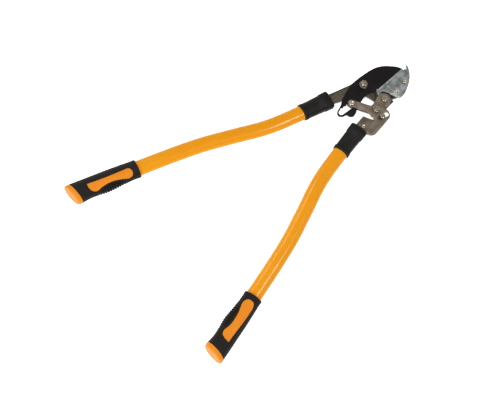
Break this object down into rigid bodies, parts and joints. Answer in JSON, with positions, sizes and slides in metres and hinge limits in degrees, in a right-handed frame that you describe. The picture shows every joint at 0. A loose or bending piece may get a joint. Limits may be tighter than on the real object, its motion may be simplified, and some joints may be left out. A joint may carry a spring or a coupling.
{
  "type": "ratchet anvil loppers",
  "caption": "Long-handled ratchet anvil loppers: a coated blade closes on a flat anvil, oval tube handles with soft grips.",
  "frame": {"origin": "middle of the tool's bounding box in plan, on the surface it lies on", "axes": "+Z along the pivot bolts, up from the surface; +Y along the tool from the grips to the jaws; +X towards the lever handle"},
  "size_m": [0.4596, 0.762, 0.0402],
  "materials": {
    "orange_powder_coat": "glossy orange powder coat on steel tube",
    "orange_plastic": "satin orange moulded plastic",
    "soft_black_rubber": "matt black soft-touch overmould",
    "black_plastic": "matt black moulded plastic",
    "black_coated_steel": "matt black non-stick coating, ground bright at the edge",
    "warm_grey_steel": "warm grey plated steel plate",
    "zinc_plate": "zinc plated pressed sheet",
    "aluminium": "plain aluminium anvil insert",
    "bright_nickel": "bright nickel plated fasteners"
  },
  "bodies": {
    "fixed_side": {"fixed_arm": "warm_grey_steel", "anvil_channel": "zinc_plate", "anvil_insert": "aluminium", "anvil_spacer_tip": "zinc_plate", "anvil_spacer_heel": "zinc_plate", "anvil_rivet_tip": "bright_nickel", "anvil_rivet_heel": "bright_nickel", "blade_pivot_bolt": "bright_nickel", "blade_pivot_washer": "bright_nickel", "blade_pivot_nut": "bright_nickel", "lever_pivot_bolt": "bright_nickel", "lever_pivot_spacer": "zinc_plate", "lever_pivot_nut": "bright_nickel", "left_tube": "orange_powder_coat", "left_collar": "black_plastic", "left_tang_pin": "bright_nickel", "left_grip_cover": "soft_black_rubber", "left_grip_core": "orange_plastic", "left_end_cap": "orange_plastic"},
    "lever_side": {"lever_front_plate": "warm_grey_steel", "lever_rear_plate": "warm_grey_steel", "lever_tang": "warm_grey_steel", "clamp_bolt": "bright_nickel", "clamp_nut": "bright_nickel", "tang_rivet": "bright_nickel", "tang_spacer": "zinc_plate", "plate_rivet": "warm_grey_steel", "link_bolt": "bright_nickel", "link_nut": "bright_nickel", "right_tube": "orange_powder_coat", "right_collar": "black_plastic", "right_tang_pin": "bright_nickel", "right_grip_cover": "soft_black_rubber", "right_grip_core": "orange_plastic", "right_end_cap": "orange_plastic"},
    "blade": {"blade": "black_coated_steel"},
    "link": {"link_front_plate": "warm_grey_steel", "link_rear_plate": "zinc_plate", "link_spacer": "zinc_plate", "ratchet_pin": "bright_nickel"}
  },
  "joints": [
    {"name": "lever_swing", "type": "hinge", "parent": "fixed_side", "child": "lever_side", "pos_m": [0.03, 0.28011, 0.02136], "axis": [0, 0, 1], "range_deg": [0, 48]},
    {"name": "blade_swing", "type": "hinge", "parent": "fixed_side", "child": "blade", "pos_m": [-0.024, 0.27061, 0.02136], "axis": [0, 0, 1], "range_deg": [0, 28.6]},
    {"name": "link_swing", "type": "hinge", "parent": "lever_side", "child": "link", "pos_m": [0.0355, 0.24761, 0.02136], "axis": [0, 0, 1], "range_deg": [-47.6, 0]}
  ],
  "couplings": [
    {"joint": "blade_swing", "follows": "lever_swing", "ratio": 0.594},
    {"joint": "link_swing", "follows": "lever_swing", "ratio": -0.99}
  ]
}
